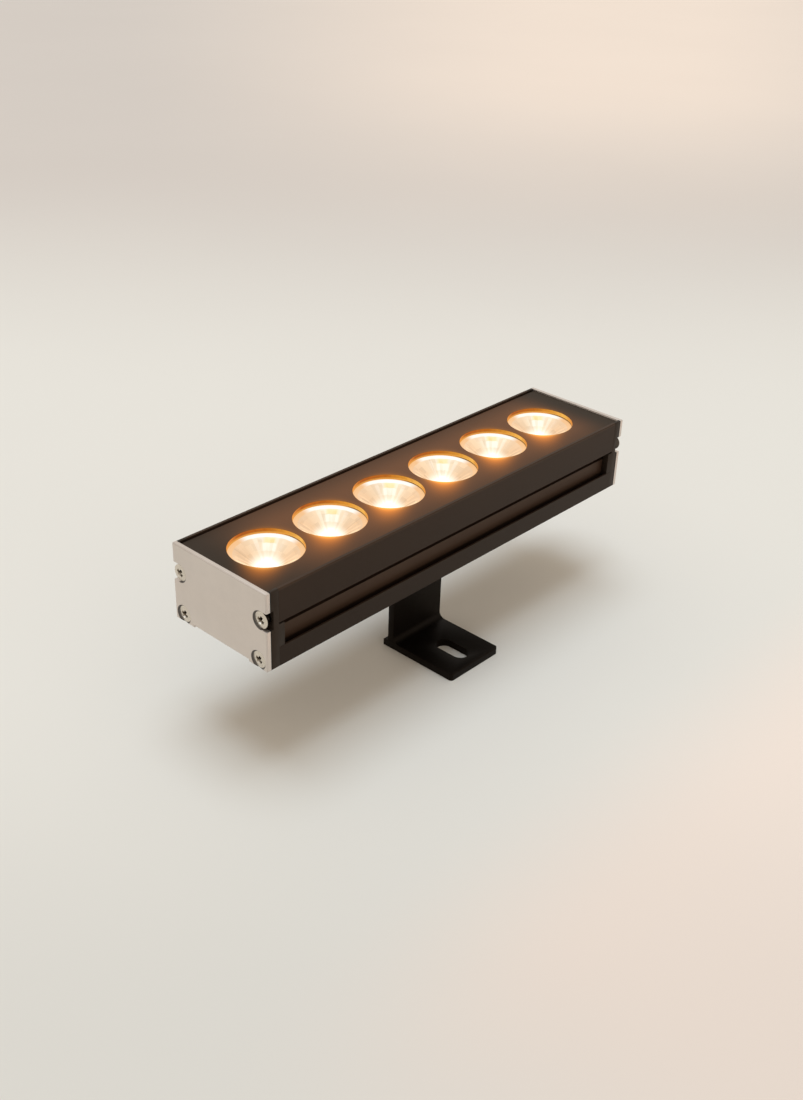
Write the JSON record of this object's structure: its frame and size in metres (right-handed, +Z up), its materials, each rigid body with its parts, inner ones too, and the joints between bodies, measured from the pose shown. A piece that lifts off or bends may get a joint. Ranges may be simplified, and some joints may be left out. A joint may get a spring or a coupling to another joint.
{
  "type": "wall washer light",
  "caption": "Linear outdoor wall washer: a bronze extruded head with lensed emitters and bright end plates, carried by a slotted foot whose tee head slides in the underside.",
  "frame": {"origin": "on the underside of the foot, straight below the middle of the leg", "axes": "+X along the light towards its cable entry, +Y from the front, where the foot points, to the rear, +Z up, the way the light shines"},
  "size_m": [0.2653, 0.0708, 0.091],
  "materials": {
    "bronze_extrusion": "satin bronze anodising",
    "cover_bronze": "satin bronze anodising",
    "bracket_black": "fine black powder coat",
    "cap_black": "matte moulded plastic",
    "gasket_black": "matte rubber",
    "end_plate_metal": "satin sheet metal",
    "screw_steel": "bright turned steel",
    "grub_screw_steel": "blackened steel",
    "lens_clear": "clear moulded acrylic",
    "led_board_white": "white solder mask on metal core",
    "emitter_warm": "ceramic base with a warm phosphor dome",
    "thermal_pad_grey": "soft silicone sheet",
    "driver_board_green": "glass-fibre board with solder mask",
    "choke_ferrite": "ferrite drum with lacquered wire",
    "capacitor_can": "aluminium can",
    "chip_black": "moulded epoxy",
    "terminal_green": "moulded plastic",
    "header_black": "moulded plastic with tinned pins",
    "gland_black": "moulded nylon",
    "seal_grey": "soft rubber"
  },
  "bodies": {
    "bracket": {"foot_bracket": "bracket_black", "clamp_screws": "grub_screw_steel"},
    "head": {"housing": "bronze_extrusion", "cover_plate": "cover_bronze", "cover_gasket": "gasket_black", "led_board": "led_board_white", "led_emitters": "emitter_warm", "board_screws": "screw_steel", "thermal_pad": "thermal_pad_grey", "driver_board": "driver_board_green", "driver_choke": "choke_ferrite", "driver_capacitors": "capacitor_can", "driver_chip": "chip_black", "terminal_block": "terminal_green", "board_link": "header_black", "gland_washer": "gasket_black", "gland_body": "gland_black", "gland_seal": "seal_grey", "gland_nut": "gland_black", "lens_1": "lens_clear", "lens_2": "lens_clear", "lens_3": "lens_clear", "lens_4": "lens_clear", "lens_5": "lens_clear", "lens_6": "lens_clear", "end_cap_near": "cap_black", "end_gasket_near": "gasket_black", "end_plate_near": "end_plate_metal", "end_screws_near": "screw_steel", "end_cap_far": "cap_black", "end_gasket_far": "gasket_black", "end_plate_far": "end_plate_metal", "end_screws_far": "screw_steel"}
  },
  "joints": [
    {"name": "head_slide", "type": "slide", "parent": "bracket", "child": "head", "axis": [1, 0, 0], "range_m": [-0.09, 0.09]}
  ]
}
